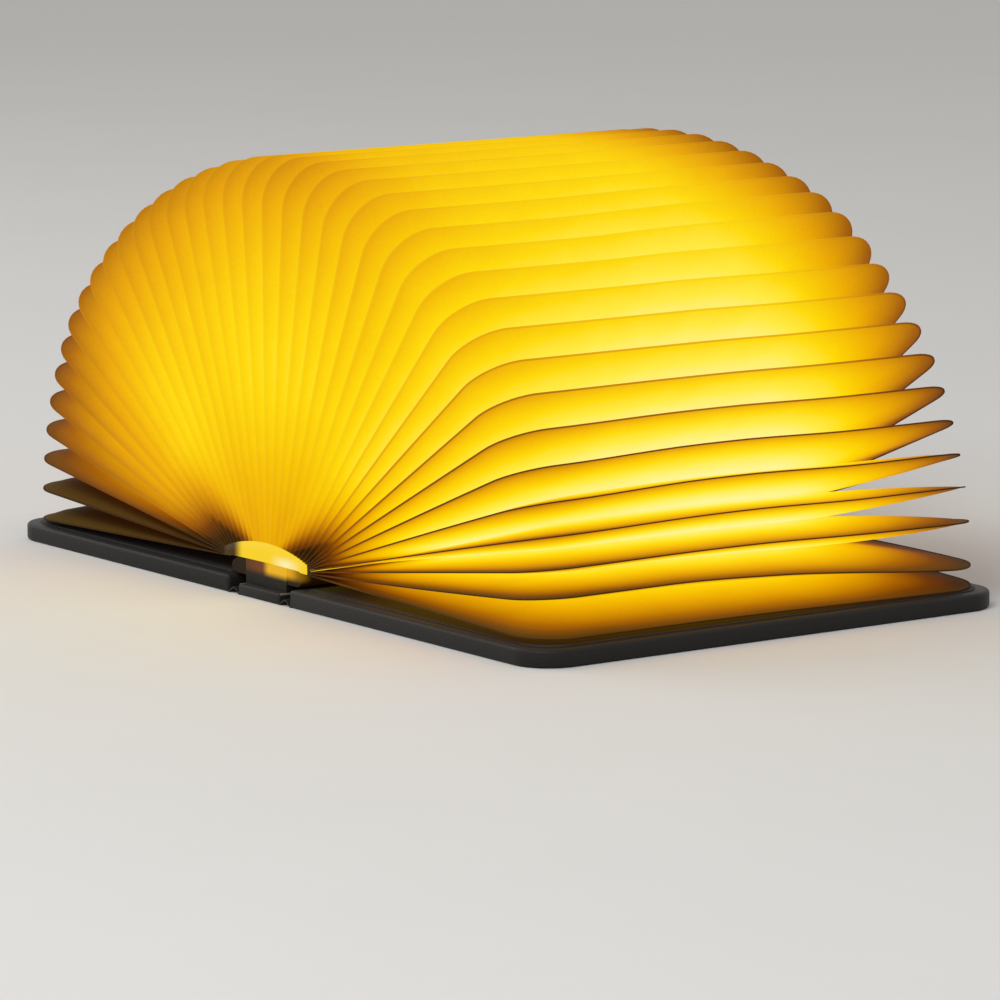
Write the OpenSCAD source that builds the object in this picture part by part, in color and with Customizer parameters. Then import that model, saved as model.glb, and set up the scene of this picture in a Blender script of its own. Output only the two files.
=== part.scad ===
// Folding book lamp: a hard-cover book whose leaves are one pleated paper bellows round a lit spine.
// The lamp lies open flat: X runs across both covers, Y along the spine, Z up from the table.
// The origin is on the table, under the middle of the spine.

/* [Covers] */
// Length of a cover along the spine
cover_h = 122; // [110:1:140]
// Distance from the middle of the spine to a cover's outer edge
cover_reach = 103; // [96:0.5:110]
// Thickness of a finished cover
cover_t = 4; // [3.6:0.1:4.6]
// Radius of a cover's two outer corners
cover_r = 9; // [5:0.5:12]
// Thickness of the book cloth
cloth_t = 0.4; // [0.3:0.05:0.5]
// Thickness of the lining sheet inside a cover
liner_t = 0.2; // [0.15:0.05:0.3]
// How far the cloth is turned in over the inside of a board
turn_in = 12; // [8:1:16]
// Bare margin of turned-in cloth left round the lining sheet
liner_margin = 3; // [2:0.5:5]
// Width of the soft gutter between the spine and a cover
gutter_w = 4; // [3.6:0.1:5]
// Height of the groove pressed into a gutter
groove_h = 1.1; // [0.6:0.1:1.5]

/* [Magnets] */
// Diameter of a closing magnet
magnet_d = 10; // [6:0.5:12]
// Thickness of a closing magnet
magnet_t = 1.5; // [1:0.1:2]
// Clearance round a magnet in its pocket
magnet_play = 0.1; // [0.05:0.05:0.3]
// Distance from a cover's outer edge to the magnets' centres
magnet_edge = 8; // [7.5:0.5:14]
// Distance from the lamp's middle to a magnet's centre, along the spine
magnet_y = 45; // [30:1:46]

/* [Bellows] */
// How far the covers reach past the leaves at each end of the spine
end_margin = 2; // [1:0.5:8]
// How far the covers reach past the leaves at the fore-edge
fore_margin = 3.1; // [2.9:0.2:16.9]
// Radius of a leaf's two outer corners
leaf_r = 10; // [6:0.5:14]
// Depth of the folds between two leaves, measured in from the leaf's edges
fold_depth = 22; // [12:1:28]
// Radius of the inner fold line's corners
fold_r = 9; // [4:0.5:12]
// Thickness of the paper
paper_t = 0.25; // [0.15:0.05:0.4]
// Width of the welded seam along a leaf's edge
seam_w = 1.2; // [0.8:0.1:2]
// Angle of the two end leaves below level, where they meet the covers
end_dip = 1.8; // [1:0.1:2.2]
// Height of the leaves' root axes above the table
root_z = 7.6; // [7.2:0.1:9]
// Half of the width over which the root axes are spread
root_half = 13.1; // [11:0.1:14]
// Swing of the root axes away from the middle
root_swing = 15.5; // [13:0.1:17]
// Distance from a root axis to the leaf's inner edge, at the covers
root_gap = 2.5; // [2:0.1:4]
// How much further out the inner edge lies over the middle
arch_rise = 1.6; // [1:0.1:3]

/* [Spine] */
// Width of the spine board
spine_w = 16; // [15:0.2:17]
// Thickness of the spine board
spine_t = 2; // [1.5:0.1:2.4]
// Width of the lamp housing
housing_w = 15.8; // [14.6:0.1:15.8]
// Height of the lamp housing
housing_h = 5; // [4.6:0.1:5.4]
// Wall of the lamp housing
housing_wall = 1; // [0.8:0.1:1.2]
// Distance from the end of the spine to the end cap
cap_setback = 2; // [1.5:0.1:4]
// Thickness of an end cap
cap_t = 3; // [2:0.1:3.5]
// Height of an end cap's raised half above the housing, at the middle
cap_rise = 1.5; // [1.2:0.1:2]
// How far the raised half falls towards its side
cap_fall = 1.1; // [0.2:0.1:1.2]
// Height of an end cap's low half above the housing, at the middle
cap_step = 0.1; // [0:0.1:0.6]
// How much higher the low half swells before it falls to its side
cap_swell = 0.4; // [0.1:0.1:0.5]

/* [Light] */
// Width of the light board
light_board_w = 14.6; // [12:0.1:15]
// Thickness of the light board
light_board_t = 0.8; // [0.6:0.1:1]
// Number of light chips along the board
chips = 10; // [6:1:11]
// Spacing of the light chips
chip_pitch = 10.6; // [8:0.1:11]
// Width of a light chip
chip_w = 2.8; // [2:0.1:3.5]
// Length of a light chip
chip_l = 3.5; // [2:0.1:4]
// Height of a light chip
chip_h = 0.6; // [0.4:0.05:0.7]
// Height of the diffuser strip
diffuser_h = 1.8; // [1.5:0.1:2]
// Wall of the diffuser strip
diffuser_wall = 0.6; // [0.4:0.05:0.7]

/* [Battery] */
// Width of the flat battery cell
battery_w = 13; // [11:0.1:13.4]
// Thickness of the battery cell
battery_t = 3.2; // [2.6:0.1:3.4]
// Length of the battery cell
battery_l = 60; // [40:1:64]
// Clearance between the battery and the housing floor
battery_play = 0.2; // [0.1:0.05:0.3]
// Gap between the battery and the charging board
battery_gap = 2.2; // [1:0.1:4]

/* [Charging] */
// Width of the charging board
charge_board_w = 12.6; // [11:0.1:13]
// Length of the charging board
charge_board_l = 34; // [24:1:36]
// Thickness of the charging board
charge_board_t = 0.8; // [0.6:0.1:1]
// Width of the charging socket
socket_w = 8.9; // [8.5:0.1:9.2]
// Height of the charging socket
socket_h = 3.2; // [3:0.05:3.3]
// Length of the charging socket
socket_l = 7.4; // [6.5:0.1:8]
// Wall of the charging socket's metal shell
socket_wall = 0.3; // [0.2:0.05:0.4]
// Thickness of the charging socket's back
socket_back = 1; // [0.8:0.1:1.5]
// Thickness of the tongue inside the charging socket
tongue_t = 0.7; // [0.6:0.05:0.8]
// Distance from the tongue to the socket's outer sides
tongue_inset = 1.5; // [1:0.1:2]
// Distance from the tongue's tip to the socket's mouth
tongue_setback = 1.3; // [0.8:0.1:2]
// Clearance round the socket in its end cap
socket_play = 0.1; // [0.05:0.05:0.2]

/* [Hidden] */
$fn = 64;
leaves = 39;
middle = (leaves - 1) / 2;
leaf_step = (90 + end_dip) / middle;
// Length of a leaf along the spine, and its reach from its root axis to its fore-edge
leaf_h = cover_h - 2 * end_margin;
leaf_w = cover_reach - fore_margin - root_half;
// Steps round each corner of a leaf, and along each of its two end edges
corner_steps = 5;
edge_steps = 3;
// Points in one ring across a leaf
ring_points = 10;
// Depth at which a panel's belly is set, as a share of the way from seam to fold
belly_depth = 0.4;
// Share of the room between two leaves that stays open at the fold
fold_gap = 0.03;
// Share of its half angle that the outer panel of an end leaf takes
flat_share = 0.12;
// Most of its half angle that the paper's thickness takes
skin_share = 0.3;
// Steps across the groove of a gutter
groove_steps = 12;
spine_half = spine_w / 2;
gutter_end = spine_half + gutter_w;
board_edge_play = 0.05;
housing_z = cloth_t + spine_t;
housing_top = housing_z + housing_h;
cap_end = cover_h / 2 - cap_setback;
housing_l = 2 * (cap_end - cap_t);
light_z = housing_top + light_board_t;
// Bare margin of the light board beside the diffuser
diffuser_margin = 0.3;
diffuser_foot = light_board_w - 2 * diffuser_margin;
board_z = housing_z + housing_wall + battery_play;
socket_z = board_z;
// Overlap that a cut or a joined shape has, so that no faces coincide
pad = 0.5;

leaf_names = [for (i = [0 : leaves - 1]) str("page_", i < 10 ? "0" : "", i)];

// Direction of leaf i, counted from the right cover; halves lie on the folds between leaves.
function leaf_angle(i) = 90 - (middle - i) * leaf_step;
// Root axis of the leaf at angle a.
function root_x(a) = max(-root_half, min(root_half, root_swing * cos(a)));
// Inner edge of the leaf at angle a, measured from its root axis.
function root_r(a) = root_gap + arch_rise * pow(sin(a), 2);
// A point of the fan: at angle a, r out from the root axis, y along the spine.
function fan_point(a, r, y) = [root_x(a) + r * cos(a), y, root_z + r * sin(a)];
// Half of the room between two neighbouring leaves, r out from the root axis.
function half_room(a, r) =
    (r + (abs(root_swing * cos(a)) < root_half ? root_swing * pow(sin(a), 2) : 0)) * sin(leaf_step / 2);
// A leaf's outline as [r, y] pairs, drawn in by inset, from the near root round to the far root.
function outline(inset, radius, root) =
    let (w = leaf_w - inset, h = leaf_h / 2 - inset, edge = w - radius - root)
    concat(
        [for (k = [0 : edge_steps - 1]) [root + edge * k / edge_steps, -h]],
        [for (k = [0 : corner_steps])
            let (t = 90 * k / corner_steps) [w - radius + radius * sin(t), -h + radius - radius * cos(t)]],
        [for (k = [0 : corner_steps])
            let (t = 90 * k / corner_steps) [w - radius + radius * cos(t), h - radius + radius * sin(t)]],
        [for (k = [edge_steps - 1 : -1 : 0]) [root + edge * k / edge_steps, h]]);
// Share of its half angle that a bellied panel has used up at depth d: 0 at the seam, 1 in the fold.
function belly(d) = pow(1 - pow(1 - d, 2), 0.75);
// Paper's thickness as an angle, at a point of the leaf at angle a whose panel opens by open degrees.
// Near the root it takes at most skin_share of the half angle, so that a panel never closes.
function skin(a, place, open) =
    min(min(skin_share, paper_t / half_room(a, place[0])) * leaf_step / 2, open / 2);
// One ring of ten points across a leaf's two panels: from fold over the seam to fold, and back inside.
function leaf_ring(a, rim, seam, fold, low, high) =
    let (mid = rim + (fold - rim) * belly_depth, low_mid = low * belly(belly_depth))
    let (high_mid = high * belly(belly_depth))
    [fan_point(a - low, fold[0], fold[1]),
     fan_point(a - low_mid, mid[0], mid[1]),
     fan_point(a, rim[0], rim[1]),
     fan_point(a + high_mid, mid[0], mid[1]),
     fan_point(a + high, fold[0], fold[1]),
     fan_point(a + high - skin(a, fold, high), fold[0], fold[1]),
     fan_point(a + high_mid - skin(a, mid, high_mid), mid[0], mid[1]),
     fan_point(a, seam[0], seam[1]),
     fan_point(a - low_mid + skin(a, mid, low_mid), mid[0], mid[1]),
     fan_point(a - low + skin(a, fold, low), fold[0], fold[1])];

// One leaf of the bellows: two thin panels welded along the leaf's edge and open towards the spine.
// The two end leaves lie flat on the covers, so their outer panel is level with the seam.
module leaf(i) {
    a = leaf_angle(i);
    half = leaf_step / 2 * (1 - fold_gap);
    low = i == 0 ? leaf_step / 2 * flat_share : half;
    high = i == leaves - 1 ? leaf_step / 2 * flat_share : half;
    rim = outline(0, leaf_r, root_r(a));
    seam = outline(seam_w, leaf_r - seam_w, root_r(a));
    fold = outline(fold_depth, fold_r, root_r(a));
    rings = len(rim);
    points = [for (s = [0 : rings - 1]) each leaf_ring(a, rim[s], seam[s], fold[s], low, high)];
    n = ring_points;
    // The two skins of a panel are split along the same diagonals, and the near half mirrors the far half.
    sides = [for (s = [0 : rings - 2]) for (k = [0 : n - 1])
        let (p = s * n + k, q = s * n + (k + 1) % n, near_half = s < (rings - 1) / 2)
        let (inner_skin = k >= n / 2 && k < n - 1, upper_panel = k >= 2 && k <= 6)
        each (inner_skin != (near_half != upper_panel)
            ? [[p, p + n, q + n], [p, q + n, q]]
            : [[p, p + n, q], [q, p + n, q + n]])];
    last = (rings - 1) * n;
    near_end = [for (k = [0 : n / 2 - 2]) each [[k, k + 1, n - 1 - k], [k + 1, n - 2 - k, n - 1 - k]]];
    far_end = [for (f = near_end) [last + f[0], last + f[2], last + f[1]]];
    color([1, 0.78, 0.25]) polyhedron(points, concat(sides, near_end, far_end), convexity = 6);
}

// A flat sheet from x0 to x1 with the two corners at x1 rounded.
module sheet(x0, x1, length, radius, thickness) {
    linear_extrude(thickness) union() {
        translate([x0, -length / 2]) square([x1 - radius - x0, length]);
        translate([x1 - radius - pad, radius - length / 2]) square([radius + pad, length - 2 * radius]);
        for (s = [-1, 1]) translate([x1 - radius, s * (length / 2 - radius)]) circle(radius);
    }
}

// Puts a right-hand piece on the side it belongs to.
module on_side(side) {
    mirror([side < 0 ? 1 : 0, 0, 0]) children();
}

module magnet_places() {
    for (s = [-1, 1]) translate([cover_reach - magnet_edge, s * magnet_y, 0]) children();
}

// Grey board inside a cover, with pockets for the magnets in its inner face.
module cover_board(side) {
    inset = cloth_t + board_edge_play;
    board_t = cover_t - 2 * cloth_t - liner_t + cloth_t / 2;
    top = cloth_t + board_t;
    on_side(side) color([0.35, 0.33, 0.3]) difference() {
        translate([0, 0, cloth_t])
            sheet(gutter_end + inset, cover_reach - inset, cover_h - 2 * inset, cover_r - inset, board_t);
        magnet_places() translate([0, 0, top - magnet_t - magnet_play])
            cylinder(h = magnet_t + magnet_play + pad, r = magnet_d / 2 + magnet_play);
    }
}

// Black cloth round a cover: the outer face, the edges, and the strip turned in over the board.
module cover_cloth(side) {
    top = cover_t - liner_t;
    fold_t = cloth_t / 2;
    inner = cloth_t + board_edge_play;
    on_side(side) color([0.06, 0.05, 0.05]) difference() {
        sheet(gutter_end, cover_reach, cover_h, cover_r, top);
        translate([0, 0, cloth_t])
            sheet(gutter_end + cloth_t, cover_reach - cloth_t, cover_h - 2 * cloth_t, cover_r - cloth_t,
                top - fold_t - cloth_t);
        translate([0, 0, cloth_t])
            sheet(gutter_end + cloth_t, cover_reach - turn_in, cover_h - 2 * turn_in, fold_t, top);
    }
}

// Lining sheet glued over the turned-in cloth.
module cover_liner(side) {
    on_side(side) color([0.1, 0.09, 0.08]) translate([0, 0, cover_t - liner_t])
        sheet(gutter_end + liner_margin, cover_reach - liner_margin, cover_h - 2 * liner_margin,
            cover_r - liner_margin, liner_t);
}

// Two disc magnets that hold the lamp shut, or its covers back to back.
module cover_magnets(side) {
    top = cover_t - liner_t - cloth_t / 2;
    on_side(side) color([0.7, 0.7, 0.72]) magnet_places()
        translate([0, 0, top - magnet_t - magnet_play / 2]) cylinder(h = magnet_t, r = magnet_d / 2);
}

// Soft strip of cloth that joins the spine to a cover and bends when the cover turns.
// It is pressed up into a shallow groove between the two boards.
module gutter(side) {
    steps = groove_steps;
    under = [for (k = [0 : steps])
        [spine_half + gutter_w * k / steps, groove_h * pow(sin(180 * k / steps), 2)]];
    over = [for (k = [steps : -1 : 0]) under[k] + [0, cloth_t]];
    on_side(side) color([0.06, 0.05, 0.05]) translate([0, cover_h / 2, 0]) rotate([90, 0, 0])
        linear_extrude(cover_h) polygon(concat(under, over));
}

// Cloth under the spine board, turned up round both its ends and in over it as far as the end caps.
module spine_cloth() {
    turned = cover_h / 2 - cap_end - cloth_t;
    color([0.06, 0.05, 0.05]) {
        translate([-spine_half, -cover_h / 2, 0]) cube([spine_w, cover_h, cloth_t]);
        for (s = [0, 1]) mirror([0, s, 0]) {
            translate([-spine_half, cover_h / 2 - cloth_t, 0]) cube([spine_w, cloth_t, housing_z + cloth_t]);
            translate([-spine_half, cap_end, housing_z]) cube([spine_w, turned + cloth_t, cloth_t]);
        }
    }
}

module spine_board() {
    length = cover_h - 2 * (cloth_t + board_edge_play);
    color([0.35, 0.33, 0.3]) translate([-spine_half, -length / 2, cloth_t]) cube([spine_w, length, spine_t]);
}

// Channel that holds the battery and the boards.
module housing() {
    inner_w = housing_w - 2 * housing_wall;
    color([0.12, 0.11, 0.1]) difference() {
        translate([-housing_w / 2, -housing_l / 2, housing_z]) cube([housing_w, housing_l, housing_h]);
        translate([-inner_w / 2, -housing_l / 2 - pad, housing_z + housing_wall])
            cube([inner_w, housing_l + 2 * pad, housing_h]);
    }
}

// Stepped plate that closes one end of the housing; side is -1 at the near end.
// A short slope joins its raised half to the low one, which rises a little and then falls to its side.
module end_cap(side) {
    half = housing_w / 2;
    slope = half / 10;
    high = housing_top + cap_rise;
    low = housing_top + cap_step;
    outer = [[-half, housing_z], [half, housing_z], [half, housing_top],
        [half - 4 * slope, low + cap_swell], [slope, low], [-slope, high], [-half, high - cap_fall]];
    y0 = side < 0 ? -cap_end : housing_l / 2;
    color([0.1, 0.09, 0.09]) translate([0, y0 + cap_t, 0]) rotate([90, 0, 0]) linear_extrude(cap_t)
        polygon(outer);
}

module near_cap() {
    end_cap(-1);
}

// The far cap has the opening for the charging socket.
module far_cap() {
    color([0.1, 0.09, 0.09]) difference() {
        end_cap(1);
        translate([0, housing_l / 2 - pad, socket_z + socket_h / 2])
            socket_block(socket_w + 2 * socket_play, socket_h + 2 * socket_play, cap_t + 2 * pad);
    }
}

// A bar along +Y with fully rounded sides.
module socket_block(w, h, l) {
    translate([0, l, 0]) rotate([90, 0, 0]) linear_extrude(l) union() {
        square([w - h, h], center = true);
        for (s = [-1, 1]) translate([s * (w - h) / 2, 0]) circle(h / 2);
    }
}

module charge_socket() {
    y0 = cap_end - socket_l;
    color([0.75, 0.75, 0.77]) translate([0, 0, socket_z + socket_h / 2]) {
        difference() {
            translate([0, y0, 0]) socket_block(socket_w, socket_h, socket_l);
            translate([0, y0 + socket_back, 0])
                socket_block(socket_w - 2 * socket_wall, socket_h - 2 * socket_wall, socket_l);
        }
        translate([-socket_w / 2 + tongue_inset, y0 + socket_back / 2, -tongue_t / 2])
            cube([socket_w - 2 * tongue_inset, socket_l - socket_back / 2 - tongue_setback, tongue_t]);
    }
}

// Board with a notch at its end, so that the socket sits level with its underside.
module charge_board() {
    notch_w = socket_w + 2 * socket_play;
    notch_l = socket_l - cap_t + socket_play;
    color([0.1, 0.3, 0.16]) difference() {
        translate([-charge_board_w / 2, housing_l / 2 - charge_board_l, board_z])
            cube([charge_board_w, charge_board_l, charge_board_t]);
        translate([-notch_w / 2, housing_l / 2 - notch_l, board_z - pad])
            cube([notch_w, notch_l + pad, charge_board_t + 2 * pad]);
    }
}

module battery() {
    y0 = housing_l / 2 - charge_board_l - battery_gap - battery_l;
    edge = battery_t / 2;
    color([0.55, 0.57, 0.6]) translate([0, y0, board_z + edge]) socket_block(battery_w, battery_t, battery_l);
}

module light_board() {
    color([0.9, 0.9, 0.88]) translate([-light_board_w / 2, -housing_l / 2, housing_top])
        cube([light_board_w, housing_l, light_board_t]);
}

module light_chips() {
    color([1, 0.9, 0.5]) for (i = [0 : chips - 1])
        translate([-chip_w / 2, (i - (chips - 1) / 2) * chip_pitch - chip_l / 2, light_z])
            cube([chip_w, chip_l, chip_h]);
}

// Opal strip arched over the chips.
module diffuser() {
    half = diffuser_foot / 2;
    outer_r = (half * half + diffuser_h * diffuser_h) / (2 * diffuser_h);
    color([1, 0.93, 0.72]) translate([0, housing_l / 2, light_z]) rotate([90, 0, 0])
        linear_extrude(housing_l) difference() {
            translate([0, diffuser_h - outer_r]) circle(outer_r);
            translate([0, diffuser_h - outer_r]) circle(outer_r - diffuser_wall);
            translate([-2 * outer_r, -3 * outer_r]) square([4 * outer_r, 3 * outer_r]);
        }
}

spine_board();
spine_cloth();
housing();
near_cap();
far_cap();
battery();
charge_board();
charge_socket();
light_board();
light_chips();
diffuser();
gutter(1);  // right_gutter
cover_board(1);  // right_board
cover_cloth(1);  // right_cloth
cover_liner(1);  // right_liner
cover_magnets(1);  // right_magnets
gutter(-1);  // left_gutter
cover_board(-1);  // left_board
cover_cloth(-1);  // left_cloth
cover_liner(-1);  // left_liner
cover_magnets(-1);  // left_magnets
for (i = [0 : leaves - 1]) leaf(i);
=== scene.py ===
# %% [markdown]
# # Folding book lamp
# A hard-cover book whose leaves are one pleated paper bellows, lit from inside by a strip in the spine.
# This lesson dresses the lamp's frame in its real surfaces: glowing paper, book cloth, plastic and metal.
# The axes are the frame's own: X across both covers, Y along the spine, Z up. The scene is in metres, and
# the lamp's small sizes are written in millimetres and multiplied by MM.

# %% The frame
import math

import bmesh
import bpy
from mathutils import Matrix, Vector


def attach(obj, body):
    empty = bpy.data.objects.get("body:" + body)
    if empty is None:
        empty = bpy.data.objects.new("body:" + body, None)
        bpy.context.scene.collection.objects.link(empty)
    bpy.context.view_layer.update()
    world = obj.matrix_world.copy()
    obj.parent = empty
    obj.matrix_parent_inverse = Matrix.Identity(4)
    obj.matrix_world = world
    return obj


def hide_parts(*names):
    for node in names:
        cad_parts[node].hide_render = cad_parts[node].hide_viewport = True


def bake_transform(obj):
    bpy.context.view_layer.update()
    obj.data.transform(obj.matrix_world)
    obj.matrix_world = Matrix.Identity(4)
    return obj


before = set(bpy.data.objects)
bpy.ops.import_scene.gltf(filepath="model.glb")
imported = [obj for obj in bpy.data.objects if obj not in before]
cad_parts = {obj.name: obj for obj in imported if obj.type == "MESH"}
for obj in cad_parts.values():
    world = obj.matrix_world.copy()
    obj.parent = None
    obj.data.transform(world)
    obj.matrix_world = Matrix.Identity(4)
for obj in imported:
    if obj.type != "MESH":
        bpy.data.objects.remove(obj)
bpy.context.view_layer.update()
MM = 0.001

# %% [markdown]
# ## Camera
# The lamp is seen from its near right corner, a little above the table, through a long lens.
# Its azimuth, height, distance and focal length were worked out from the seams' places in the photograph,
# and a small roll is kept, because the seams fit better with it.

# %% The camera
AZIMUTH, ELEVATION, ROLL = math.radians(54.764), math.radians(9.139), math.radians(-0.276)
DISTANCE = 1284.1 * MM
FOCAL_PIXELS, PICTURE = 5859.9, 1000
AIM = Vector((3.46, 0, 16.22)) * MM


def add_camera():
    """A camera that looks at AIM from the photograph's side."""
    back = Vector((math.sin(AZIMUTH) * math.cos(ELEVATION), -math.cos(AZIMUTH) * math.cos(ELEVATION),
                   math.sin(ELEVATION)))
    data = bpy.data.cameras.new("camera")
    data.sensor_width = 36
    data.lens = FOCAL_PIXELS / PICTURE * data.sensor_width
    data.clip_start, data.clip_end = 0.05, 20
    camera = bpy.data.objects.new("camera", data)
    bpy.context.scene.collection.objects.link(camera)
    camera.rotation_mode = "QUATERNION"
    turn = back.to_track_quat("Z", "Y").to_matrix() @ Matrix.Rotation(ROLL, 3, "Z")
    camera.rotation_quaternion = turn.to_quaternion()
    camera.location = AIM + back * DISTANCE
    bpy.context.scene.camera = camera
    return camera


print("camera lens", round(add_camera().data.lens, 1), "mm")

# %% [markdown]
# ## Sockets that add up
# Shader maths is easier to read as sums than as a web of nodes.
# A Wire holds one output socket, and its operators add Math nodes to the same material.
# A Finish holds one material, and its node method adds any other node.


# %% Wires and finishes
class Wire:
    """One output socket of a material's node tree, with arithmetic."""

    def __init__(self, finish, out):
        self.finish, self.out = finish, out

    def maths(self, operation, other=0, swap=False):
        """A Math node on this wire. Operations on one value, such as SINE, don't use other."""
        pair = (other, self) if swap else (self, other)
        return self.finish.node("ShaderNodeMath", {"operation": operation}, *pair)

    def __add__(self, other):
        return self.maths("ADD", other)

    def __sub__(self, other):
        return self.maths("SUBTRACT", other)

    def __rsub__(self, other):
        return self.maths("SUBTRACT", other, swap=True)

    def __mul__(self, other):
        return self.maths("MULTIPLY", other)

    def __truediv__(self, other):
        return self.maths("DIVIDE", other)

    def __rtruediv__(self, other):
        return self.maths("DIVIDE", other, swap=True)

    def __pow__(self, other):
        return self.maths("POWER", other)

    def __abs__(self):
        return self.maths("ABSOLUTE")

    __radd__, __rmul__ = __add__, __mul__


class Finish:
    """A material and the means to add nodes to it."""

    def __init__(self, name, **constants):
        self.material = bpy.data.materials.new(name)
        self.material.use_nodes = True
        self.tree = self.material.node_tree
        self.shader = self.tree.nodes["Principled BSDF"]
        for socket, value in constants.items():
            self.shader.inputs[socket.replace("_", " ")].default_value = value

    def plug(self, value, socket):
        if isinstance(value, Wire):
            self.tree.links.new(value.out, socket)
        else:
            socket.default_value = value

    def node(self, kind, settings, *values, out=0, **named):
        made = self.tree.nodes.new(kind)
        for key, value in settings.items():
            if key == "stops":
                self.set_stops(made.color_ramp, value)
            else:
                setattr(made, key, value)
        for socket, value in zip(made.inputs, values):
            self.plug(value, socket)
        for key, value in named.items():
            self.plug(value, made.inputs[key])
        return Wire(self, made.outputs[out])

    def set_stops(self, ramp, stops):
        while len(ramp.elements) < len(stops):
            ramp.elements.new(0.5)
        for element, (position, colour) in zip(ramp.elements, stops):
            element.position = position
            element.color = (*colour, 1)

    def feed(self, **sockets):
        for key, value in sockets.items():
            self.plug(value, self.shader.inputs[key.replace("_", " ")])

    def place(self):
        return self.node("ShaderNodeTexCoord", {}, out="Object")

    def axes(self, letters="XYZ"):
        """The named coordinates of the surface point, in millimetres."""
        made = self.tree.nodes.new("ShaderNodeSeparateXYZ")
        self.plug(self.place(), made.inputs[0])
        return [Wire(self, made.outputs[letter]) * (1 / MM) for letter in letters]

    def noise(self, size_mm, detail=3, stretch=(1, 1, 1)):
        """Noise whose grain is size_mm across, longer where stretch is below 1."""
        scaled = self.node("ShaderNodeMapping", {}, self.place(), Scale=stretch)
        return self.node("ShaderNodeTexNoise", {}, Vector=scaled, Scale=1 / (size_mm * MM), Detail=detail)

    def mix(self, factor, first, second):
        """Mixes two colours. A Mix node's colours are its inputs 6 and 7, and its output 2."""
        first, second = [colour if isinstance(colour, Wire) else (*colour, 1) for colour in (first, second)]
        made = self.tree.nodes.new("ShaderNodeMix")
        made.data_type = "RGBA"
        for value, index in ((factor, 0), (first, 6), (second, 7)):
            self.plug(value, made.inputs[index])
        return Wire(self, made.outputs[2])

    def smooth(self, value, low, high, to_low=0.0, to_high=1.0):
        """Value mapped from low..high to to_low..to_high with a soft start and end."""
        return self.node("ShaderNodeMapRange", {"interpolation_type": "SMOOTHSTEP"}, value, low, high,
                         to_low, to_high)

    def fade(self, value, scale):
        """1 at a value of zero, and fading out over scale."""
        return (value * (-1 / scale)).maths("EXPONENT")

    def bump(self, height, depth_mm, strength=1.0):
        return self.node("ShaderNodeBump", {}, Strength=strength, Distance=depth_mm * MM, Height=height)


print("wires ready")

# %% [markdown]
# ## How the bellows glows
# The lamp's light comes up between the leaves from the spine and passes through the paper from behind.
# It is strongest in the middle of the right side, and weaker towards the far end, the tips on the left and
# the lowest leaves. Both sides of the root lie in the shade of the housing.
# Light that passes through 38 folds is slow and grainy to render, so the paper gives off the colour itself.
# One number, the glow, is worked out from the place in the fan, and a ramp turns it into a colour that runs
# from brown over amber to a pale yellow. Each factor of the glow is one smooth effect of the place.

# %% Glow
GLOW_STOPS = [
    (0.00, (0.000, 0.000, 0.0)),
    (0.15, (0.020, 0.004, 0.0)),
    (0.30, (0.130, 0.030, 0.0)),
    (0.42, (0.330, 0.100, 0.0)),
    (0.52, (0.520, 0.210, 0.0)),
    (0.64, (0.740, 0.345, 0.0)),
    (0.76, (0.850, 0.500, 0.0)),
    (0.88, (0.920, 0.665, 0.002)),
    (1.00, (0.940, 0.785, 0.055)),
    (1.18, (0.950, 0.860, 0.300)),
]
GLOW_TOP = GLOW_STOPS[-1][0]
GLOW_GAIN = 1.442
ROOT_HEIGHT = 7.6
LEAST_REACH = 0.01
TIP_START, TIP_LENGTH, TIP_SHADE = 35, 52, 0.387


def fan_glow(finish):
    """Glow of the bellows at a place, and what other finishes need of the place: slope, x and y."""
    x, y, z = finish.axes()
    rise = z - ROOT_HEIGHT
    reach = (x * x + rise * rise) ** 0.5 + LEAST_REACH
    slope = rise / reach
    # Along the spine the light weakens a little to the near end and a lot to the far one.
    far = finish.smooth(y, 13.4, 87.4, 1.0, 0.1)
    near = finish.smooth(y, -62, 8.4, 0.878, 1.0)
    # Round the fan the top and the lowest leaves are weaker, and the low leaves on the left are dark.
    high = finish.smooth(slope, 0.4, 1.0, 1.0, 0.926)
    low = finish.smooth(slope, -0.05, 0.115, 0.777, 1.0)
    side = slope + finish.smooth(x, -8, 4)
    left = finish.smooth(side, 0.0, 0.3, 0.49, 1.0) * finish.smooth(side, 0.06, 0.13, 0.35, 1.0)
    # Outwards the shade of the housing ends, and the tips are weaker again.
    root = 1 - finish.smooth(slope, 0.25, 0.75, 0.865, 0.236) * finish.smooth(reach, 0, 44, 1.0, 0.0)
    root = root * finish.smooth(reach + 60 * finish.smooth(slope, 0.3, 0.5), 10, 30, 0.4, 1.0)
    outer = (reach - TIP_START).maths("MAXIMUM", 0) / TIP_LENGTH
    tip = TIP_SHADE * outer * outer * finish.smooth(y, -59, -30, 1.0, 0.54)
    tip = tip * finish.smooth(x, 0, 60, 1.0, 0.317)
    return GLOW_GAIN * far * near * high * low * left * root * (1 - tip), slope, x, y


def ridge_shade(finish, slope):
    """How much darker than the open fold the paper is just under its welded edge."""
    return finish.smooth(slope, 0.25, 0.65, 0.5, 0.3) * finish.smooth(slope, 0.85, 1.0, 1.0, 0.85)


def glow_colour(finish, glow):
    """The ramp's colour for a glow."""
    stops = [(position / GLOW_TOP, colour) for position, colour in GLOW_STOPS]
    return finish.node("ShaderNodeValToRGB", {"stops": stops}, glow / GLOW_TOP)


print("glow:", len(GLOW_STOPS), "colours on the ramp")

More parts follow.
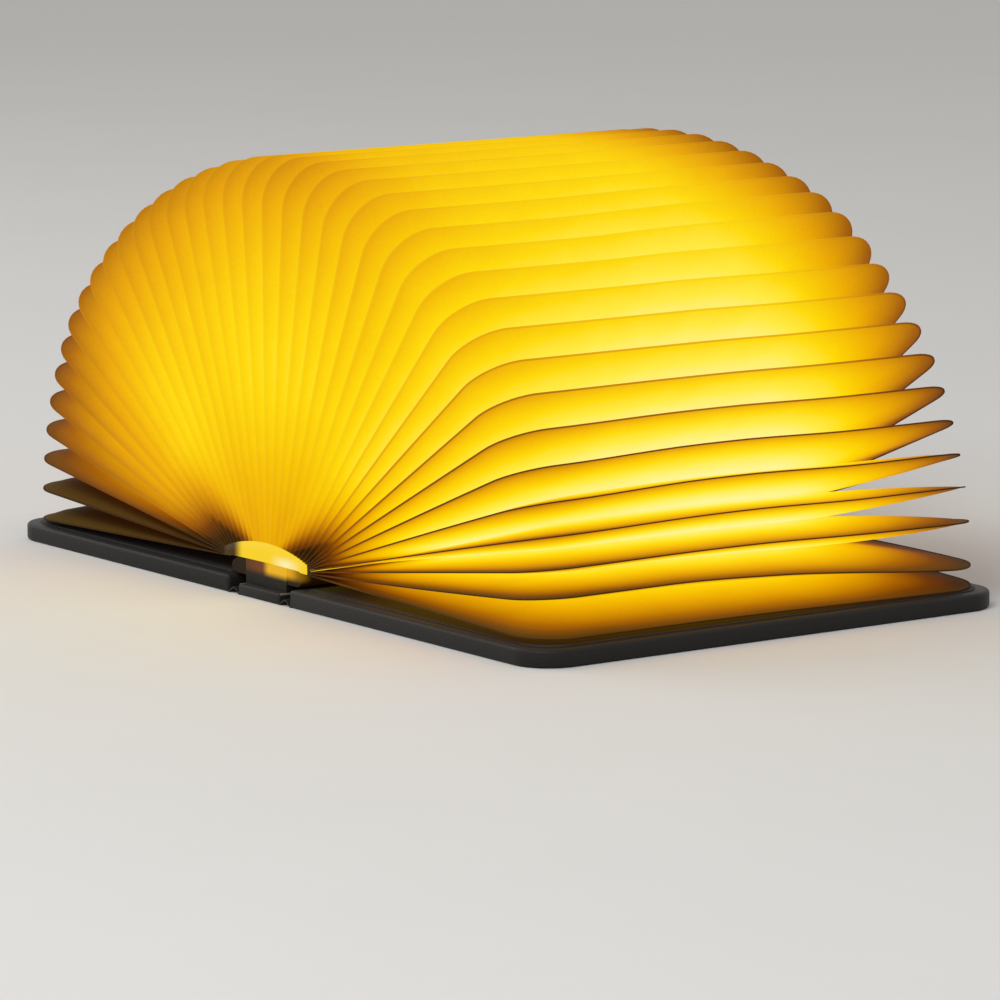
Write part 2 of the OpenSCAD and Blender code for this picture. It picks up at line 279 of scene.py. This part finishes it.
# %% [markdown]
# ## Paper
# The leaves are a tough matt paper with soft fibres and faint clouds where its thickness changes.
# The welded edge of a leaf is the darkest line on it. From there the paper brightens into the fold, because
# light reaches the fold from both of its sides. On the right, the low leaves are darker above than below.
# The side of the leaf and the depth below its edge are stored in a UV map, whose V is 0 at one seam, 0.5 in
# the fold and 1 at the next seam.

# %% The paper
LEAF_MAP = "leaf"


def make_paper():
    finish = Finish("paper_lit", Roughness=0.85, Emission_Strength=1.0, Specular_IOR_Level=0.12)
    glow, slope, x, y = fan_glow(finish)
    seam_to_seam = finish.node("ShaderNodeUVMap", {"uv_map": LEAF_MAP})
    across = finish.node("ShaderNodeSeparateXYZ", {}, seam_to_seam, out="Y") * 2 - 1
    depth = 1 - abs(across)
    right = finish.smooth(x, 5, 20)
    top_side = finish.smooth(across, -0.02, 0.02, 1.0, 0.0) * right
    # Under a leaf: the edge's broad shade, and a thin dark rim on low leaves and at the near end.
    under = ridge_shade(finish, slope) * finish.fade(depth, 0.67)
    under = under + 0.12 * finish.smooth(slope, 0.55, 0.35) * right * finish.fade(depth, 0.06)
    under = under + 0.05 * finish.smooth(y, -59, -45, 1.0, 0.0) * finish.fade(depth, 0.058)
    # On top of a leaf: the shade of the leaf above it, and a rim that is darkest at the near end.
    top = finish.smooth(slope, 0.0, 0.45, 0.7, 0.2) * finish.fade(depth, 0.95)
    rim = 0.3 * finish.smooth(y, -58, -15, 1.0, 0.4) * finish.smooth(slope, 0.45, 0.25)
    top = top + rim * finish.fade(depth, 0.1)
    fibre = finish.noise(0.9, detail=4)
    cloud = finish.noise(9, detail=2)
    glow = glow * (1 - under + top_side * (under - top))
    glow = glow * (0.98 + 0.04 * fibre) * (0.97 + 0.06 * cloud)
    finish.feed(Emission_Color=glow_colour(finish, glow),
                Base_Color=finish.mix(fibre, (0.07, 0.038, 0.003), (0.10, 0.055, 0.005)),
                Normal=finish.bump(fibre + cloud, 0.05, 0.5))
    return finish.material


PAPER = make_paper()
print("paper:", len(PAPER.node_tree.nodes), "nodes")

# %% [markdown]
# ## The fan's own formula
# Leaf number 0 lies on the right cover and number 38 on the left one, and the angle grows evenly between.
# Each leaf turns about its own root axis. The axes are spread over the spine's width, so the leaves at the
# sides start further out. The same few sizes as in the frame place every fold.
# Real paper is limp: towards both corners of the right side the low leaves stand or sag by up to 3.5 mm.
# The hang is a smooth function of the place, so all pieces of the paper share it.

# %% Fan formula
LEAVES = 39
MIDDLE = (LEAVES - 1) // 2
LEAF_HALF, LEAF_WIDTH, LEAF_CORNER = 59, 86.8, 10
FOLD_DEPTH, FOLD_CORNER = 22, 9
END_DIP, ROOT_HALF, ROOT_SWING = 1.8, 13.1, 15.5
ROOT_GAP, ARCH_RISE = 2.5, 1.6
STEP = (90 + END_DIP) / MIDDLE
HANGS = [
    (1.0, 0.75, 20, -25, 1.5),
    (1.0, 0.75, 5, 57, -3.3),
    (4.4, 2.0, -12, -52, -1.1),
    (4.2, 3.0, -5, 30, -0.8),
    (10.5, 2.2, 25, -5, 0.6),
    (12.2, 2.2, -20, 25, 1.2),
]


def leaf_angle(i):
    return math.radians(90 - (MIDDLE - i) * STEP)


def soft_step(value, low, high):
    """0 at low and 1 at high, with a soft start and end."""
    share = max(0.0, min(1.0, (value - low) / (high - low)))
    return share * share * (3 - 2 * share)


def hang(angle, reach, y):
    """Height in mm by which the limp paper leaves its even place.

    A row of HANGS has a leaf, how many leaves on each side share its hang, the y where the hang starts and
    the y where it is full, and its height at the tip.
    """
    leaf = MIDDLE - (90 - math.degrees(angle)) / STEP
    height = sum(most * math.exp(-((leaf - centre) / spread) ** 2) * soft_step(y, start, full)
                 for centre, spread, start, full, most in HANGS)
    return height * (reach / LEAF_WIDTH) ** 2


def fan_point(angle, reach, y):
    """The point at an angle in the fan, reach out from its root axis and y along the spine."""
    root = max(-ROOT_HALF, min(ROOT_HALF, ROOT_SWING * math.cos(angle)))
    rise = reach * math.sin(angle) + hang(angle, reach, y)
    return Vector((root + reach * math.cos(angle), y, ROOT_HEIGHT + rise)) * MM


def root_reach(angle):
    return ROOT_GAP + ARCH_RISE * math.sin(angle) ** 2


def body_of_leaf(i):
    return "spine" if i == MIDDLE else f"leaf_{i:02d}"


print("leaves turn", round(STEP, 3), "degrees apart")

# %% [markdown]
# ## A leaf's outline
# A leaf is a sheet with two round corners. Its outline runs from the near root, out along the near end,
# round the corner, along the fore-edge and back. Outlines drawn further in are the lines of the folds.

# %% Outline
END_PARTS, CORNER_PARTS, EDGE_PARTS = 14, 10, 16
OUTLINE_PARTS = 2 * END_PARTS + 2 * CORNER_PARTS + EDGE_PARTS


def outline(u, inset, radius, root):
    """Reach and y of the point u (0 to 1) along the outline, drawn in by inset."""
    side = -1 if u <= 0.5 else 1
    step = min(u, 1 - u) * OUTLINE_PARTS
    width, half = LEAF_WIDTH - inset, LEAF_HALF - inset
    if step <= END_PARTS:
        return root + (width - radius - root) * step / END_PARTS, side * half
    step -= END_PARTS
    if step <= CORNER_PARTS:
        turn = math.radians(90 * step / CORNER_PARTS)
        return width - radius + radius * math.sin(turn), side * (half - radius + radius * math.cos(turn))
    step -= CORNER_PARTS
    return width, side * (half - radius) * (1 - step / (EDGE_PARTS / 2))


def panel_place(u, depth, root):
    """Reach and y of a place on a panel, at a depth of 0 at its rim to 1 in its fold."""
    rim = outline(u, 0, LEAF_CORNER, root)
    fold = outline(u, FOLD_DEPTH, FOLD_CORNER, root)
    return [a + (b - a) * depth for a, b in zip(rim, fold)]


print("outline:", OUTLINE_PARTS, "parts")

# %% [markdown]
# ## One pleat
# The paper between two seams is one web: down from the first seam into the fold and up to the next seam.
# Air and the paper's spring make each side belly out, so a leaf is thick and round near its seam.
# A grid is the simplest start: its columns run along the outline and its rows across the pleat, and every
# vertex is then moved to its place in the fan. The middle row is the fold.

# %% Pleat webs
PLEAT_ROWS = 18
BELLY, BELLY_ROUND = 2.0, 0.75
FIRM_FROM, FIRM_TO, LIMP = 6, 12, 0.15


def belly(depth, firm):
    """Share of the half angle that a panel has used up at a depth of 0 (seam) to 1 (fold)."""
    round_share = (1 - (1 - depth) ** BELLY) ** BELLY_ROUND
    return depth + firm * (round_share - depth)


def leaf_place(i, u, across):
    """Place on web i: across is -1 on leaf i's seam, 0 in the fold and 1 on the next leaf's seam."""
    depth = 1 - abs(across)
    half = math.radians(STEP / 2)
    firm = LIMP + (1 - LIMP) * soft_step(i, FIRM_FROM, FIRM_TO)
    angle = leaf_angle(i) + half + math.copysign(half * (1 - belly(depth, firm)), across)
    reach, y = panel_place(u, depth, root_reach(angle))
    return fan_point(angle, reach, y)


def finish_piece(name, edit, material, smooth=True, sharp=None):
    """Turns a bmesh into an object with one material, with hard edges where faces turn by sharp degrees."""
    mesh = bpy.data.meshes.new(name)
    edit.to_mesh(mesh)
    edit.free()
    mesh.materials.append(material)
    mesh.polygons.foreach_set("use_smooth", [smooth] * len(mesh.polygons))
    if sharp:
        mesh.set_sharp_from_angle(angle=math.radians(sharp))
    piece = bpy.data.objects.new(name, mesh)
    bpy.context.scene.collection.objects.link(piece)
    return piece


def paper_grid(rows, v_start, v_end):
    """A grid from -1 to 1 along the outline and across the rows, whose V runs from v_start to v_end."""
    edit = bmesh.new()
    leaf_map = edit.loops.layers.uv.new(LEAF_MAP)
    bmesh.ops.create_grid(edit, x_segments=OUTLINE_PARTS, y_segments=rows, size=1)
    for face in edit.faces:
        for loop in face.loops:
            u, share = loop.vert.co.x / 2 + 0.5, loop.vert.co.y / 2 + 0.5
            loop[leaf_map].uv = (u, v_start + (v_end - v_start) * share)
    return edit


def make_web(i):
    edit = paper_grid(PLEAT_ROWS, 0, 1)
    for vert in edit.verts:
        vert.co = leaf_place(i, vert.co.x / 2 + 0.5, vert.co.y)
    web = finish_piece(f"pleat_{i:02d}", edit, PAPER)
    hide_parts(f"page_{i:02d}")
    return web


WEBS = [make_web(i) for i in range(LEAVES - 1)]
print("pleats:", len(WEBS), "webs of", len(WEBS[0].data.polygons), "faces")

# %% [markdown]
# ## Between two leaves
# Each web joins two leaves that turn against each other. The plane half way between them is worked out,
# and the piece's transform is baked into its mesh.

# %% Fold planes
FOLD_REACH, FOLD_END = 75, 55


def fold_with_leaves(piece, i):
    """Works out the plane half way between leaf i and the next, and bakes the piece's transform.

    The plane is laid through the pleat's root and its two ends, because the hang tilts it a little. Nothing
    uses it.
    """
    middle = leaf_angle(i) + math.radians(STEP / 2)
    near, far = [fan_point(middle, FOLD_REACH, y) for y in (-FOLD_END, FOLD_END)]
    root = fan_point(middle, 0, 0)
    body_of_leaf(i)
    body_of_leaf(i + 1)
    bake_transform(piece)


for number, web in enumerate(WEBS):
    fold_with_leaves(web, number)
print("pleats fold with", len(WEBS) + 1, "leaves")

# %% [markdown]
# ## Seams
# Along its edge a leaf's two panels are welded into a narrow flat lip. Two thicknesses of paper let little
# light through, so on the low leaves of the right side the lip draws a thin dark line. On the high leaves
# and on the left, where light also falls on it from the next leaf, it is hardly darker than the paper.
# The lip is a closed ribbon: a grid whose rows go once round its thin section, with the last row merged
# into the first.

# %% Seam lips
LIP_WIDTH, LIP_THICK, LIP_SHADE = 0.35, 0.28, 0.72
LIP_LIGHT = 0.01


def make_seam_paper():
    finish = Finish("paper_seam", Roughness=0.8, Emission_Strength=1.0, Specular_IOR_Level=0.12)
    glow, slope, x, _ = fan_glow(finish)
    fibre = finish.noise(0.8)
    dark = finish.smooth(x, 4, 50) * finish.smooth(slope, 0.75, 0.15)
    ridge = 1 + LIP_LIGHT - ridge_shade(finish, slope)
    finish.feed(Emission_Color=glow_colour(finish, glow * ridge * (1 - LIP_SHADE * dark)),
                Base_Color=finish.mix(fibre, (0.03, 0.016, 0.002), (0.045, 0.024, 0.003)),
                Normal=finish.bump(fibre, 0.03, 0.4))
    return finish.material


def close_ribbon(edit):
    """Merges the first and last rows, closes both ends and turns the faces outwards."""
    bmesh.ops.remove_doubles(edit, verts=edit.verts, dist=0.002 * MM)
    bmesh.ops.holes_fill(edit, edges=[edge for edge in edit.edges if edge.is_boundary], sides=0)
    bmesh.ops.recalc_face_normals(edit, faces=edit.faces)


def make_seam(i):
    section = [(0, 1), (0, -1), (LIP_WIDTH, -1), (LIP_WIDTH, 1), (0, 1)]
    angle = leaf_angle(i)
    side = Vector((-math.sin(angle), 0, math.cos(angle))) * LIP_THICK / 2 * MM
    edit = bmesh.new()
    bmesh.ops.create_grid(edit, x_segments=OUTLINE_PARTS, y_segments=len(section) - 1, size=1)
    for vert in edit.verts:
        inset, face = section[round((vert.co.y + 1) / 2 * (len(section) - 1))]
        reach, y = outline(vert.co.x / 2 + 0.5, inset, LEAF_CORNER - inset, root_reach(angle))
        vert.co = fan_point(angle, reach, y) + side * face
    close_ribbon(edit)
    seam = finish_piece(f"seam_{i:02d}", edit, SEAM_PAPER, smooth=False)
    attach(seam, body_of_leaf(i))
    return seam


SEAM_PAPER = make_seam_paper()
SEAMS = [make_seam(i) for i in range(LEAVES)]
print("seams:", len(SEAMS))

# %% [markdown]
# ## The end leaves' outer panels
# The first and the last leaf are glued flat to the covers, so their outer panel has no pleat.
# It is a flat sheet from the seam inwards, a hair below the seam's own plane, and shaded as an underside.

# %% End leaves
GLUED_SHARE = 0.12
END_ROWS = 4


def make_end_panel(i, name):
    down = -1 if i == 0 else 1
    angle = leaf_angle(i) + down * math.radians(STEP / 2 * GLUED_SHARE)
    edit = paper_grid(END_ROWS, 1, 0.5)
    for vert in edit.verts:
        depth = vert.co.y / 2 + 0.5
        reach, y = panel_place(vert.co.x / 2 + 0.5, depth, root_reach(angle))
        vert.co = fan_point(leaf_angle(i) + (angle - leaf_angle(i)) * depth, reach, y)
    panel = finish_piece(name, edit, PAPER)
    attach(panel, body_of_leaf(i))
    if i:
        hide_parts(f"page_{i:02d}")


make_end_panel(0, "end_panel_right")
make_end_panel(LEAVES - 1, "end_panel_left")
print("end panels on leaves 0 and", LEAVES - 1)

# %% [markdown]
# ## The lit chamber at the root
# The leaves' inner edges are glued to a strip of thin film that arches over the light like a tunnel.
# Both ends of the tunnel are closed by the same film, and the near one shows as the brightest spot.
# The film is made in segments, one for each pleat. A segment's rows run
# from the near end's middle out to a small lip over the leaves' ends, along the tunnel, and back to the far
# end's middle.

# %% Chamber film
FILM_END, FILM_LIP, LIP_DEPTH = 59.2, 0.45, 0.3
FILM_INNER, FILM_WALL = 0.35, 0.55
TUNNEL_STEPS = 8
HOT_X = 8


def make_film():
    finish = Finish("film_lit", Roughness=0.5, Emission_Strength=1.0, Specular_IOR_Level=0.1)
    x, z = finish.axes("XZ")
    # Painted light: the film's glow, brightest in a patch right of the middle low down, with painted shade
    # over its left end.
    hot = finish.smooth(abs(x - HOT_X), 0, 7, 1.0, 0.0) * finish.smooth(z, 10.6, 8.6)
    streak = finish.noise(2.5, stretch=(1, 1, 0.2))
    warm = finish.mix(hot, (0.90, 0.62, 0.012), (0.94, 0.86, 0.45))
    lit = finish.mix(0.35 * streak, warm, (0.86, 0.52, 0.01))
    finish.feed(Emission_Color=finish.mix(finish.smooth(x, -12.5, -8.5), (0.02, 0.005, 0.0), lit),
                Base_Color=finish.mix(streak, (0.03, 0.020, 0.004), (0.05, 0.032, 0.006)))
    return finish.material


def film_reach(row, angle):
    """Reach of a row of the film: the lip stands over the leaves' ends, the tunnel is at their root."""
    root = root_reach(angle)
    return {"middle": FILM_INNER, "wall": FILM_WALL * root, "lip": root + FILM_LIP, "tunnel": root}[row]


def make_chamber(i):
    end = [("middle", -FILM_END), ("wall", -FILM_END), ("lip", -FILM_END), ("lip", LIP_DEPTH - FILM_END)]
    tunnel = [("tunnel", (2 * LIP_DEPTH - FILM_END) * (1 - 2 * k / TUNNEL_STEPS))
              for k in range(TUNNEL_STEPS + 1)]
    path = end + tunnel + [(row, -y) for row, y in end[::-1]]
    edit = bmesh.new()
    bmesh.ops.create_grid(edit, x_segments=len(path) - 1, y_segments=2, size=1)
    for vert in edit.verts:
        row, y = path[round((vert.co.x + 1) / 2 * (len(path) - 1))]
        angle = leaf_angle(i) + math.radians(STEP) * (vert.co.y + 1) / 2
        vert.co = fan_point(angle, film_reach(row, angle), y)
    film = finish_piece(f"film_{i:02d}", edit, FILM)
    fold_with_leaves(film, i)


FILM = make_film()
for number in range(LEAVES - 1):
    make_chamber(number)
print("chamber film:", LEAVES - 1, "segments")

# %% [markdown]
# ## Book cloth and lining
# The covers are grey board wrapped in black coated cloth: a fine pebbled grain, a faint weave under it,
# and patches rubbed a little smoother. The lining sheet inside is plain matt black paper.

# %% Cover finishes
PEBBLE = 0.45
THREADS = 7


def make_book_cloth():
    finish = Finish("book_cloth_black", Sheen_Weight=0.03, Sheen_Roughness=0.4, Specular_IOR_Level=0.25)
    grain = finish.node("ShaderNodeTexVoronoi", {"feature": "SMOOTH_F1"}, Vector=finish.place(),
                        Scale=1 / (PEBBLE * MM))
    x, y = finish.axes("XY")
    weave = ((x + y) * THREADS).maths("SINE") * ((x - y) * THREADS).maths("SINE")
    wear = finish.noise(14, detail=4)
    finish.feed(Base_Color=finish.mix(wear, (0.0065, 0.0058, 0.0052), (0.012, 0.0105, 0.0095)),
                Roughness=0.5 + 0.16 * wear,
                Normal=finish.bump(grain + 0.15 * weave, 0.08, 0.6))
    return finish.material


def make_lining():
    finish = Finish("lining_black")
    fibre = finish.noise(0.7, detail=5)
    finish.feed(Base_Color=finish.mix(fibre, (0.012, 0.011, 0.010), (0.022, 0.020, 0.018)),
                Roughness=0.78 + 0.1 * fibre, Normal=finish.bump(fibre, 0.03, 0.4))
    return finish.material


BOOK_CLOTH, LINING = make_book_cloth(), make_lining()
print("cover finishes ready")

# %% [markdown]
# ## Wrapped covers
# A cover starts as one face with its two outer corners rounded, is drawn up to its thickness, and has all
# its long edges softened, as cloth pulled over board is. The left one is the same thing mirrored.

# %% Covers
COVER_HALF, COVER_CORNER, COVER_REACH = 61, 9, 103
COVER_TOP = 3.8
GUTTER_START, GUTTER_END = 8, 12
EDGE_ROUND, EDGE_SEGMENTS, CORNER_SEGMENTS = 0.7, 3, 12
SIDES = {"right": 1, "left": -1}


def slab(low, high, corner=0.0):
    """A bmesh box from low to high in mm, with the upright corners at its +X end rounded by corner mm."""
    edit = bmesh.new()
    bmesh.ops.create_grid(edit, x_segments=1, y_segments=1, size=0.5)
    size = [b - a for a, b in zip(low, high)]
    bmesh.ops.scale(edit, vec=(size[0] * MM, size[1] * MM, 1), verts=edit.verts)
    centre = Vector(((low[0] + high[0]) / 2, (low[1] + high[1]) / 2, low[2])) * MM
    bmesh.ops.translate(edit, vec=centre, verts=edit.verts)
    if corner:
        outer = [vert for vert in edit.verts if vert.co.x > centre.x]
        bmesh.ops.bevel(edit, geom=outer, offset=corner * MM, offset_type="OFFSET",
                        segments=CORNER_SEGMENTS, profile=0.5, affect="VERTICES", material=-1)
    raised = bmesh.ops.extrude_face_region(edit, geom=edit.faces[:])
    top = [item for item in raised["geom"] if isinstance(item, bmesh.types.BMVert)]
    bmesh.ops.translate(edit, vec=(0, 0, size[2] * MM), verts=top)
    bmesh.ops.recalc_face_normals(edit, faces=edit.faces)
    return edit


def soften(edit, radius):
    """Rounds every sharp edge of a bmesh by radius mm."""
    sharp = [edge for edge in edit.edges if edge.calc_face_angle(0) > math.radians(30)]
    bmesh.ops.bevel(edit, geom=sharp, offset=radius * MM, offset_type="OFFSET", segments=EDGE_SEGMENTS,
                    profile=0.5, affect="EDGES", material=-1, clamp_overlap=True)


def put_on_side(edit, side):
    """Mirrors a right-hand bmesh where it is for the left side of the spine."""
    if side == "left":
        bmesh.ops.scale(edit, vec=(-1, 1, 1), verts=edit.verts)
        bmesh.ops.reverse_faces(edit, faces=edit.faces)


def make_cover(side):
    edit = slab((GUTTER_END, -COVER_HALF, 0), (COVER_REACH, COVER_HALF, COVER_TOP), COVER_CORNER)
    soften(edit, EDGE_ROUND)
    put_on_side(edit, side)
    cover = finish_piece(f"{side}_cover_wrap", edit, BOOK_CLOTH, sharp=40)
    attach(cover, f"{side}_cover")
    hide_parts(f"{side}_cloth")
    return cover


for side in SIDES:
    print(side, "cover:", len(make_cover(side).data.polygons), "faces")

# %% [markdown]
# ## Spine and gutters
# One strip of the same cloth runs over the spine board and on to both covers. Between board and cover it is
# free, and it is pressed into a shallow groove so that the cover can turn.

# %% Spine and gutters
GROOVE, CLOTH = 1.1, 0.4
SPINE_TOP, SPINE_ROUND = 2.44, 0.5
HAIR = 0.02
GUTTER_TUCK, GUTTER_END_PLAY = 0.4, 0.1
GUTTER_STEPS, GUTTER_ROWS = 12, 16


def make_spine_wrap():
    edit = slab((-GUTTER_START - HAIR, -COVER_HALF, 0), (GUTTER_START + HAIR, COVER_HALF, SPINE_TOP))
    soften(edit, SPINE_ROUND)
    wrap = finish_piece("spine_wrap", edit, BOOK_CLOTH, sharp=40)
    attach(wrap, "spine")
    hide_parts("spine_cloth")


def make_gutter(side):
    shares = [k / GUTTER_STEPS for k in range(GUTTER_STEPS + 1)]
    section = [(share, 0) for share in shares] + [(1 - share, CLOTH) for share in shares]
    section.append(section[0])
    edit = bmesh.new()
    bmesh.ops.create_grid(edit, x_segments=len(section) - 1, y_segments=GUTTER_ROWS, size=1)
    for vert in edit.verts:
        share, up = section[round((vert.co.x + 1) / 2 * (len(section) - 1))]
        x = GUTTER_START - GUTTER_TUCK + (GUTTER_END - GUTTER_START + 2 * GUTTER_TUCK) * share
        z = up + GROOVE * math.sin(math.pi * share) ** 2 + HAIR
        vert.co = Vector((x, vert.co.y * (COVER_HALF - GUTTER_END_PLAY), z)) * MM
    close_ribbon(edit)
    put_on_side(edit, side)
    gutter = finish_piece(f"{side}_gutter_cloth", edit, BOOK_CLOTH, sharp=50)
    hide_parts(f"{side}_gutter")
    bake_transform(gutter)


make_spine_wrap()
for side, sign in SIDES.items():
    make_gutter(side)
print("spine wrapped, gutters bend over", GUTTER_END - GUTTER_START, "mm")

# %% [markdown]
# ## Feet of the bellows
# Below the root the film's edge is tucked down beside the housing and glued to the cover.
# It makes a soft round foot that fills the corner between housing and cover. The right one is lit through
# at its near end, and the left one is in shade.

# %% Bellows feet
FOOT_SECTION = [(7.95, 4.25), (12.2, 4.25), (13.4, 4.9), (13.7, 5.7), (13.1, 6.7), (11.6, 7.5), (9.8, 8.0),
                (7.95, 8.1)]
FOOT_END, FOOT_ROWS = 58.9, 12
UNLIT = (0.006, 0.002, 0.0)


def make_foot_film():
    finish = Finish("foot_film", Roughness=0.6, Emission_Strength=1.0, Specular_IOR_Level=0.1)
    x, y, z = finish.axes()
    near = finish.smooth(y, -FOOT_END, -56, 1.0, 0.0)
    lit_side = finish.smooth(x, -2, 6) * finish.smooth(x, 13.5, 8.5, 0.3, 1.0) * finish.smooth(z, 4.8, 6.6)
    streak = finish.noise(3, stretch=(1, 1, 0.3))
    ends = finish.mix(lit_side, UNLIT, (0.74, 0.36, 0.0))
    finish.feed(Emission_Color=finish.mix(near * (0.85 + 0.3 * streak), UNLIT, ends),
                Base_Color=finish.mix(streak, (0.012, 0.008, 0.004), (0.02, 0.012, 0.005)))
    return finish.material


def make_foot(side):
    section = FOOT_SECTION + FOOT_SECTION[:1]
    edit = bmesh.new()
    bmesh.ops.create_grid(edit, x_segments=len(section) - 1, y_segments=FOOT_ROWS, size=1)
    for vert in edit.verts:
        x, z = section[round((vert.co.x + 1) / 2 * (len(section) - 1))]
        vert.co = Vector((x, vert.co.y * FOOT_END, z)) * MM
    close_ribbon(edit)
    put_on_side(edit, side)
    foot = finish_piece(f"{side}_bellows_foot", edit, FOOT_FILM, sharp=60)
    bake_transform(foot)


FOOT_FILM = make_foot_film()
for side, sign in SIDES.items():
    make_foot(side)

# %% [markdown]
# ## Finishes of the frame's own pieces
# The housing, its end caps, the boards, the battery, the socket and the magnets keep the frame's own shape
# and get a finish each. The near cap is thin enough to glow on its low side.

# %% Spine finishes
CHIP_PITCH = 10.6


def make_plastic(name, glow):
    """Black moulded plastic. A glow of 1 paints light through it above the height of the covers, shaded on
    the left.
    """
    finish = Finish(name, Emission_Strength=1.0, Specular_IOR_Level=0.15)
    x, z = finish.axes("XZ")
    texture = finish.noise(0.35, detail=2)
    # Painted light: the glow through the thin cap, with painted shade on its left side.
    cap_glow_shaded_left = finish.mix(finish.smooth(x, -1.6, 1.4), (0.14, 0.035, 0.0), (0.80, 0.42, 0.002))
    lit = finish.smooth(z, 4.6, 6.4) * finish.smooth(x, -9, -3, 0.6, 1.0) * glow
    finish.feed(Base_Color=finish.mix(texture, (0.010, 0.008, 0.007), (0.016, 0.013, 0.010)),
                Roughness=0.42 + 0.1 * texture,
                Normal=finish.bump(texture, 0.02, 0.5),
                Emission_Color=finish.mix(lit, (0, 0, 0), cap_glow_shaded_left))
    return finish.material


def make_speckled(name, dark, light, grain_mm, roughness, metallic=0.0, **constants):
    """A finish that varies between two near colours, with a fine bump of the same grain."""
    finish = Finish(name, Metallic=metallic, **constants)
    grain = finish.noise(grain_mm, detail=4)
    finish.feed(Base_Color=finish.mix(grain, dark, light), Roughness=roughness + 0.12 * grain,
                Normal=finish.bump(grain, 0.02, 0.4))
    return finish.material


def make_opal():
    """Opal plastic whose colour changes a little along it, with the spacing of the light chips."""
    finish = Finish("opal_lit", Roughness=0.4, Emission_Strength=1.0, Base_Color=(0.2, 0.17, 0.1, 1))
    y, = finish.axes("Y")
    beat = (y * (2 * math.pi / CHIP_PITCH)).maths("SINE")
    finish.feed(Emission_Color=finish.mix(0.5 + 0.3 * beat, (0.86, 0.66, 0.16), (0.88, 0.82, 0.50)))
    return finish.material


NODE_FINISHES = {
    "housing": make_plastic("housing_black", 0.0),
    "far_cap": make_plastic("far_cap_black", 0.0),
    "near_cap": make_plastic("near_cap_lit", 1.0),
    "diffuser": make_opal(),
    "light_chips": make_speckled("chip_lit", (0.8, 0.66, 0.2), (0.86, 0.72, 0.3), 0.5, 0.3,
                                 Emission_Strength=0.7, Emission_Color=(1, 0.8, 0.35, 1)),
    "light_board": make_speckled("board_white", (0.72, 0.72, 0.68), (0.8, 0.8, 0.77), 0.6, 0.35),
    "charge_board": make_speckled("board_green", (0.012, 0.075, 0.03), (0.02, 0.10, 0.045), 0.8, 0.3),
    "charge_socket": make_speckled("socket_steel", (0.56, 0.56, 0.58), (0.66, 0.66, 0.68), 0.3, 0.25, 1.0),
    "battery": make_speckled("cell_foil", (0.42, 0.43, 0.45), (0.55, 0.56, 0.58), 4, 0.32, 0.9),
    "spine_board": make_speckled("greyboard", (0.16, 0.15, 0.13), (0.24, 0.22, 0.19), 0.6, 0.85),
}
for side in SIDES:
    NODE_FINISHES[f"{side}_board"] = NODE_FINISHES["spine_board"]
    NODE_FINISHES[f"{side}_liner"] = LINING
    NODE_FINISHES[f"{side}_magnets"] = make_speckled(f"{side}_magnet_nickel", (0.58, 0.57, 0.55),
                                                     (0.68, 0.67, 0.65), 0.8, 0.16, 1.0)
for node, material in NODE_FINISHES.items():
    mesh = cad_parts[node].data
    mesh.materials.clear()
    mesh.materials.append(material)
print("finishes on", len(NODE_FINISHES), "nodes")

# %% [markdown]
# ## Floor and light
# A plain pale floor, a soft sky all round and two large lamps keep the object at a plain level.
# The background is paler than the sky's own light, but only for the camera, in gloss and through glass, so
# that it doesn't lighten the object.

# %% Stage
SKY_LIGHT, SKY_SEEN = 0.45, 0.88


def add_floor():
    finish = Finish("floor_pale", Roughness=0.9)
    finish.feed(Base_Color=finish.mix(finish.noise(40), (0.78, 0.77, 0.75), (0.80, 0.79, 0.77)))
    edit = bmesh.new()
    bmesh.ops.create_grid(edit, x_segments=1, y_segments=1, size=6)
    floor = finish_piece("floor", edit, finish.material)


def add_light(name, place, size, watts):
    data = bpy.data.lights.new(name, "AREA")
    data.size, data.energy = size, watts
    lamp = bpy.data.objects.new(name, data)
    bpy.context.scene.collection.objects.link(lamp)
    lamp.location = place
    lamp.rotation_mode = "QUATERNION"
    lamp.rotation_quaternion = (Vector(place) - AIM).to_track_quat("Z", "Y")


def light_world():
    world = bpy.data.worlds.new("studio")
    bpy.context.scene.world = world
    world.use_nodes = True
    nodes, links = world.node_tree.nodes, world.node_tree.links
    seen = nodes.new("ShaderNodeLightPath")
    total = seen.outputs["Is Camera Ray"]
    for ray in ("Is Glossy Ray", "Is Transmission Ray"):
        add = nodes.new("ShaderNodeMath")
        links.new(total, add.inputs[0])
        links.new(seen.outputs[ray], add.inputs[1])
        total = add.outputs[0]
    strength = nodes.new("ShaderNodeMapRange")
    links.new(total, strength.inputs[0])
    strength.inputs["To Min"].default_value, strength.inputs["To Max"].default_value = SKY_LIGHT, SKY_SEEN
    nodes["Background"].inputs[0].default_value = (1, 0.99, 0.97, 1)
    links.new(strength.outputs[0], nodes["Background"].inputs[1])


add_floor()
light_world()
add_light("key", (0.5, -0.9, 0.9), 0.6, 7)
add_light("fill", (-0.8, -0.5, 0.6), 0.8, 3)
bpy.context.scene.view_settings.view_transform = "Standard"
print("stage set")
